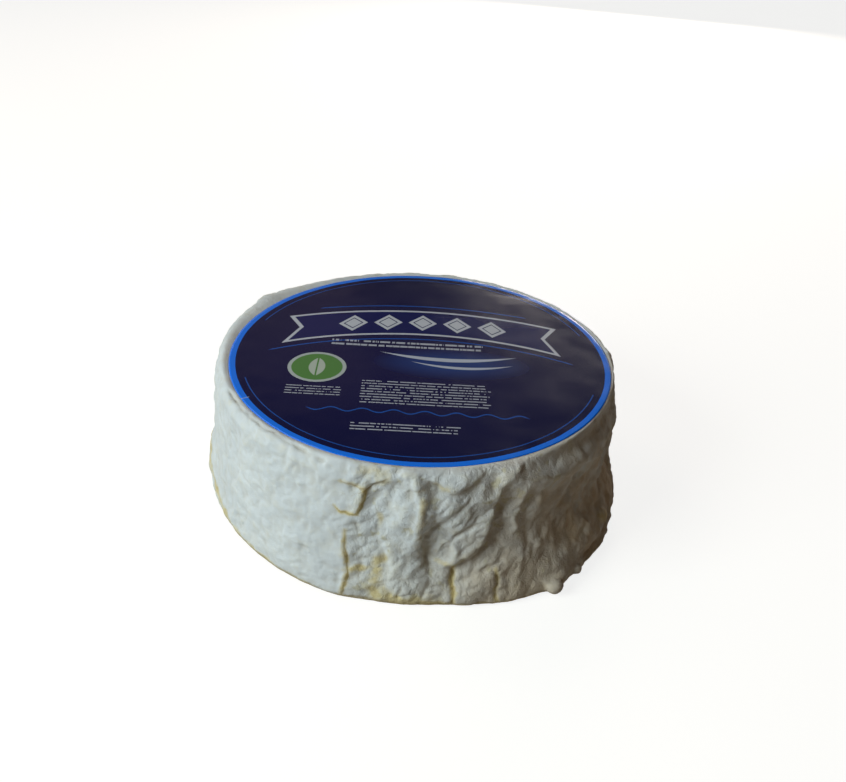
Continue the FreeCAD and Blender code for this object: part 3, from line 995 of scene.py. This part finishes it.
# partly brown patches and partly painted shade: the far right front, which lies in shade, is drawn browner
brown_patches = rind.noise(spot, 75.0, 3.0, 0.6).over(0.52, 0.3)
browned_and_painted_shade = east.over(44.0 * MM, 48.0 * MM) * right_front * (0.3 + brown_patches)
browned_and_painted_shade = browned_and_painted_shade * (1.0 - 0.4 * height.over(50.0 * MM, 6.0 * MM))
colour = rind.blend(browned_and_painted_shade * 0.8, colour, BROWN_PATCHES_AND_PAINTED_SHADE)
blots = east.over(56.0 * MM, 30.0 * MM) * right_front * rind.noise(spot, 120.0, 3.0, 0.6).over(0.60, 0.14)
colour = rind.blend(blots * 0.5, colour, BLOT_BROWN)
foot_line = (height + (mottle - 0.5) * (5.0 * MM)).under(2.5 * MM, 1.6 * MM)
foot_line = foot_line * (from_axis + (mottle - 0.5) * (14.0 * MM)).over(88.5 * MM, 4.0 * MM)
colour = rind.blend(foot_line * 0.85, colour, FOOT_BROWN)

# %% The nap and fine crinkles
crinkle = rind.noise(spot, 330.0, 4.0, 0.55, 1.0)
crinkle = (crinkle - 0.5).size() * crumpled
skin_height = (nap * 0.5 + mottle * 1.2 - crinkle * 3.8) * (0.5 * MM)
bump = rind.node("ShaderNodeBump", {}, {"Strength": 0.6, "Distance": 1.0, "Height": skin_height})
rind_material = rind.shade(Base_Color=colour, Roughness=0.85, Normal=bump, Sheen_Weight=0.1)
wheel.data.materials.append(rind_material)
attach(wheel, "root")
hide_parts("cheese_wheel")
print("the rind's material has", len(rind.tree.nodes), "nodes")

# %% [markdown]
# ## The label
#
# A disc of printed film, glued down by the damp of the rind. It is nearly flat, but it dips and ripples where
# the cheese under it does, and that is what its gloss shows. A disc cut from a plane would be quicker, but its
# reflection would be dead flat.

# %% The film's shape
LABEL_COLUMNS = 360
FILM_THICKNESS = 0.08
FILM_BELOW_TOP = 0.15

label_shares = np.concatenate([np.linspace(0.02, 0.9, 60), np.linspace(0.91, 1.0, 10)])
label_turn = np.arange(LABEL_COLUMNS) * 2 * np.pi / LABEL_COLUMNS


def label_level(points):
    """The height of the film above its seat: slow dips, a lift of its edge here and there, and fine ripples."""
    flat = np.concatenate([points[..., :2], np.zeros(points.shape[:-1] + (1,))], axis=-1)
    edge = rise(np.hypot(points[..., 0], points[..., 1]), 0.6 * label_radius, label_radius)
    ripples = crests(wander(flat, 6.0, 30.0, 3.0) / np.array([44.0, 16.0, 16.0]) + 15.0)
    return 0.10 * clouds(flat / 30.0 + 4.0) + edge * 0.09 * clouds(flat / 10.0 + 8.0) + 0.02 * ripples


ring = np.stack([np.cos(label_turn), np.sin(label_turn), 0.0 * label_turn], axis=-1)
face = ring * label_radius * label_shares[:, None, None]
face[..., 2] = label_level(face)
top_face = face + np.array([label_middle[0], label_middle[1], label_high[2] / MM - FILM_BELOW_TOP])
thickness = np.array([0.0, 0.0, FILM_THICKNESS])
label_grid = np.concatenate([top_face, top_face[::-1] - thickness])[::-1]
top_middle = top_face[0].mean(0)
label = closed_mesh("label_film", label_grid, top_middle - thickness, top_middle)
print(f"the film's top is level within {np.ptp(top_face[..., 2]):.2f} mm")

# %% [markdown]
# ## The label's print
#
# The print is a dark navy ground with an azure edge, and a plain design on it: a ribbon with lozenges, a green
# disc with a leaf, two strokes over a glow, thin lines, and blocks of dashes in place of small print. Each
# motif is a formula of x and y in mm from the label's middle, 1 inside and 0 outside, so that it is crisp at
# any distance.

# %% Places on the label
film = Sheet("label_print")
place = film.place()
x, y, _z = film.parts(place)
x = (x - label_middle[0] * MM) * (1.0 / MM)
y = (y - label_middle[1] * MM) * (1.0 / MM)
radius = (x * x + y * y) ** 0.5
EDGE = 0.18

NAVY, PAINTED_REFLECTION_VIOLET = (0.0035, 0.007, 0.055, 1.0), (0.012, 0.012, 0.075, 1.0)
AZURE = (0.010, 0.215, 1.0, 1.0)
PALE = (0.62, 0.64, 0.69, 1.0)
print(f"the label's radius is {label_radius:.1f} mm, and a printed edge is {EDGE} mm soft")


# %% Motifs
def disc(cx, cy, size):
    """A filled circle, 1 inside."""
    return (((x - cx) ** 2.0 + (y - cy) ** 2.0) ** 0.5).under(size, EDGE)


def print_lines(cx, cy, half_width, rows, pitch, thick, shift):
    """Rows of short dashes of uneven length, like a block of small print seen from too far away to read."""
    half_height = 0.5 * rows * pitch
    place_in_rows = (y - cy) / pitch + 0.5 * rows
    row = place_in_rows.whole()
    in_row = place_in_rows - row
    place_in_row = film.node("ShaderNodeCombineXYZ", {}, [x * 0.9, row * 7.3 + shift, 0.0])
    dashes = film.noise(place_in_row, 1.0, 1.0, 0.5).over(0.42, 0.04)
    line = (in_row - 0.5).size().under(0.5 * thick / pitch, 0.12)
    ragged = film.noise(film.node("ShaderNodeCombineXYZ", {}, [row * 3.1 + shift, 0.0, 0.0]), 1.0)
    end = half_width * (1.0 - 0.5 * ragged)
    inside = (x - (cx - half_width)).over(0.0, EDGE) * (x - (cx + end)).under(0.0, EDGE)
    return dashes * line * inside * (y - cy).size().under(half_height, EDGE)


def swoosh(cx, cy, bend, half_width, thick):
    """A brush stroke: a parabola that is thick in its middle and thins to nothing at both ends."""
    share = (x - cx) / half_width
    middle = cy + bend * (share * share)
    breadth = thick * (1.0 - share * share)
    return ((y - middle).size() - breadth).under(0.0, EDGE) * share.size().under(1.0, 0.01)


# %% Ground and glow
GLOW_BLUE = (0.03, 0.11, 0.42, 1.0)

glow = ((((x - 14.0) / 34.0) ** 2.0 + ((y + 6.0) / 13.0) ** 2.0) ** 0.5).under(0.7, 0.7)
# painted reflection: the navy ground is drawn lighter and more violet towards its middle
print_colour = film.blend(radius.over(40.0, 80.0), PAINTED_REFLECTION_VIOLET, NAVY)
print_colour = film.blend(glow * 0.4, print_colour, GLOW_BLUE)

# %% A curved ribbon with lozenges, between two circles round a point far below
ARCH_CENTRE, RIBBON_RADIUS = 128.0, 159.0
RIBBON_HALF_WIDTH, RIBBON_HALF_LENGTH, RIBBON_BORDER = 12.0, 56.0, 1.4
RIBBON_BLUE = (0.006, 0.012, 0.10, 1.0)
LOZENGE_PITCH, LOZENGE_SIZE = 16.0, 7.6

arch = (x * x + (y + ARCH_CENTRE) ** 2.0) ** 0.5
from_middle = (arch - RIBBON_RADIUS).size()
along_ribbon = x.size() - from_middle * 0.5
ribbon = from_middle.under(RIBBON_HALF_WIDTH, EDGE) * along_ribbon.under(RIBBON_HALF_LENGTH, EDGE)
print_colour = film.blend(ribbon, print_colour, PALE)
ribbon_inner = from_middle.under(RIBBON_HALF_WIDTH - RIBBON_BORDER, EDGE)
ribbon_inner = ribbon_inner * along_ribbon.under(RIBBON_HALF_LENGTH - 1.8, EDGE)
print_colour = film.blend(ribbon_inner, print_colour, RIBBON_BLUE)
beside_lozenge = ((x + 0.5 * LOZENGE_PITCH).rest(LOZENGE_PITCH) - 0.5 * LOZENGE_PITCH).size()
lozenge = beside_lozenge * 1.15 + from_middle
lozenges = lozenge.under(LOZENGE_SIZE, EDGE) * (1.0 - lozenge.within(4.4, 5.2, EDGE))
print_colour = film.blend(lozenges * x.size().under(40.0, 0.2), print_colour, PALE)

# %% Thin arcs and a wavy line
LINE_BLUE = (0.015, 0.10, 0.42, 1.0)

thin_lines = radius.within(76.8, 77.3, EDGE) * y.size().over(26.0, 1.0)
thin_lines = thin_lines.most(arch.within(175.4, 176.2, EDGE) * x.size().under(48.0, 2.0))
wave = 46.5 + y - 1.3 * (x * 0.5).sine()
thin_lines = thin_lines.most(wave.size().under(0.4, EDGE) * x.size().under(44.0, 2.0))
thin_lines = thin_lines.most(arch.within(142.6, 143.4, EDGE) * x.size().under(66.0, 2.0))
print_colour = film.blend(thin_lines, print_colour, LINE_BLUE)

# %% Two brush strokes
STROKE_GREY = (0.55, 0.58, 0.66, 1.0)

strokes = swoosh(12.0, -3.0, 5.0, 30.0, 1.5).most(swoosh(18.0, -9.5, 4.0, 22.0, 1.0))
print_colour = film.blend(strokes, print_colour, STROKE_GREY)

# %% A green disc with a leaf, which is where two circles overlap
GREEN, BORDER_GREY, LEAF_GREY = (0.11, 0.27, 0.07, 1.0), (0.50, 0.55, 0.52, 1.0), (0.52, 0.58, 0.48, 1.0)
BADGE_X, BADGE_Y, BADGE_SIZE = -44.0, -14.0, 12.5
LEAF_SIDE, LEAF_SIZE = 6.5, 10.0

leaf = disc(BADGE_X - LEAF_SIDE, BADGE_Y, LEAF_SIZE) * disc(BADGE_X + LEAF_SIDE, BADGE_Y, LEAF_SIZE)
vein = (x - BADGE_X).size().under(0.35, EDGE)
print_colour = film.blend(disc(BADGE_X, BADGE_Y, BADGE_SIZE), print_colour, BORDER_GREY)
print_colour = film.blend(disc(BADGE_X, BADGE_Y, BADGE_SIZE - 1.6), print_colour, GREEN)
print_colour = film.blend(leaf * (1.0 - vein), print_colour, LEAF_GREY)

# %% Blocks of dashes
# middle's x and y, half width, rows, pitch, thickness of a dash, and where its noise is read
heading = print_lines(-2.0, 9.0, 38.0, 2, 3.4, 1.5, 3.0)
main_block = print_lines(6.0, -32.0, 30.0, 9, 2.1, 0.7, 11.0)
low_block = print_lines(-2.0, -58.0, 24.0, 3, 2.1, 0.7, 23.0)
left_block = print_lines(-42.0, -33.0, 13.0, 4, 2.0, 0.6, 31.0)
dashes = heading.most(main_block).most(low_block).most(left_block)
print_colour = film.blend(dashes * 0.8, print_colour, PALE)

# %% The azure edge and a slit in it, and the gloss
EDGE_WIDTH = 2.8
SLIT_ANGLE = math.radians(-149.0)
SLIT_BLUE = (0.50, 0.62, 0.80, 1.0)

print_colour = film.blend(radius.over(label_radius - EDGE_WIDTH, EDGE), print_colour, AZURE)
across_slit = x * math.sin(SLIT_ANGLE) - y * math.cos(SLIT_ANGLE)
along_slit = x * math.cos(SLIT_ANGLE) + y * math.sin(SLIT_ANGLE)
slit = across_slit.size().under(0.22, 0.12) * radius.over(label_radius - EDGE_WIDTH - 0.6, EDGE)
print_colour = film.blend(slit * along_slit.over(0.0, EDGE) * 0.7, print_colour, SLIT_BLUE)
smudge = film.noise(place, 60.0, 3.0, 0.6)
label_material = film.shade(Base_Color=print_colour, Roughness=0.12 + smudge * 0.12)
label.data.materials.append(label_material)
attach(label, "root")
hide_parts("top_label")
print("the print's material has", len(film.tree.nodes), "nodes")

# %% [markdown]
# ## The table top
#
# A pale floor that curves up into a wall all round, like a roll of studio paper, leaves no horizon line. The
# camera and the label's gloss see it as nearly white, through the Light Path node, while the wheel itself is
# lit only by the lamps and by what a greyer paper throws back, so that the pale rind isn't washed out.

# %% Floor and backdrop
FLAT_REACH, WALL_REACH, WALL_HEIGHT = 2.4, 3.4, 1.0
FLOOR_COLUMNS = 96
BELOW_THE_FOOT = 0.1 * MM

floor_turn = np.arange(FLOOR_COLUMNS) * 2 * np.pi / FLOOR_COLUMNS
bend = np.linspace(0.0, 0.5 * np.pi, 13)
dish_radius = np.concatenate([[0.4, 1.2], FLAT_REACH + (WALL_REACH - FLAT_REACH) * np.sin(bend)])[:, None]
dish_height = np.concatenate([[0.0, 0.0], WALL_HEIGHT * (1.0 - np.cos(bend))])[:, None]
dish_x, dish_y = dish_radius * np.cos(floor_turn), dish_radius * np.sin(floor_turn)
dish = np.stack([dish_x, dish_y, dish_height + 0.0 * floor_turn], axis=-1)
points = np.concatenate([dish.reshape(-1, 3), [[0.0, 0.0, 0.0]]]) - np.array([0.0, 0.0, BELOW_THE_FOOT])
number = np.arange(len(points) - 1).reshape(dish.shape[:2])
after = np.roll(number, -1, axis=1)
quads = np.stack([number[:-1], number[1:], after[1:], after[:-1]], axis=-1).reshape(-1, 4)
fan = np.stack([np.full(FLOOR_COLUMNS, len(points) - 1), number[0], after[0]], axis=-1)
floor_mesh = bpy.data.meshes.new("floor")
floor_mesh.from_pydata(points.tolist(), [], quads.tolist() + fan.tolist())
floor_mesh.shade_smooth()
floor = bpy.data.objects.new("floor", floor_mesh)
bpy.context.scene.collection.objects.link(floor)
print(f"floor: {len(quads) + len(fan)} faces")

# %% Pale paper
PAPER = (0.36, 0.32, 0.27, 1.0)
BLACK, NEAR_WHITE = (0.0, 0.0, 0.0, 1.0), (0.94, 0.95, 0.95, 1.0)

paper = Sheet("pale_paper")
ray_outputs = paper.node("ShaderNodeLightPath").socket.node.outputs
camera_ray, gloss_ray, through_ray = [
    Wire(paper, ray_outputs[name]) for name in ("Is Camera Ray", "Is Glossy Ray", "Is Transmission Ray")
]
seen = camera_ray.most(gloss_ray).most(through_ray)
paper_material = paper.shade(
    Base_Color=PAPER,
    Roughness=0.9,
    Emission_Color=paper.blend(seen, BLACK, NEAR_WHITE),
    Emission_Strength=0.88,
)
floor.data.materials.append(paper_material)
floor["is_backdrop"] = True

# %% Sizes of the frame's box and of what is drawn
sizes = {"cad": [list(map(float, corner)) for corner in cad_box]}
sizes["visual"] = [list(map(float, corner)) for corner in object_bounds()]
print({name: [[round(v / MM, 1) for v in corner] for corner in box] for name, box in sizes.items()}, "mm")
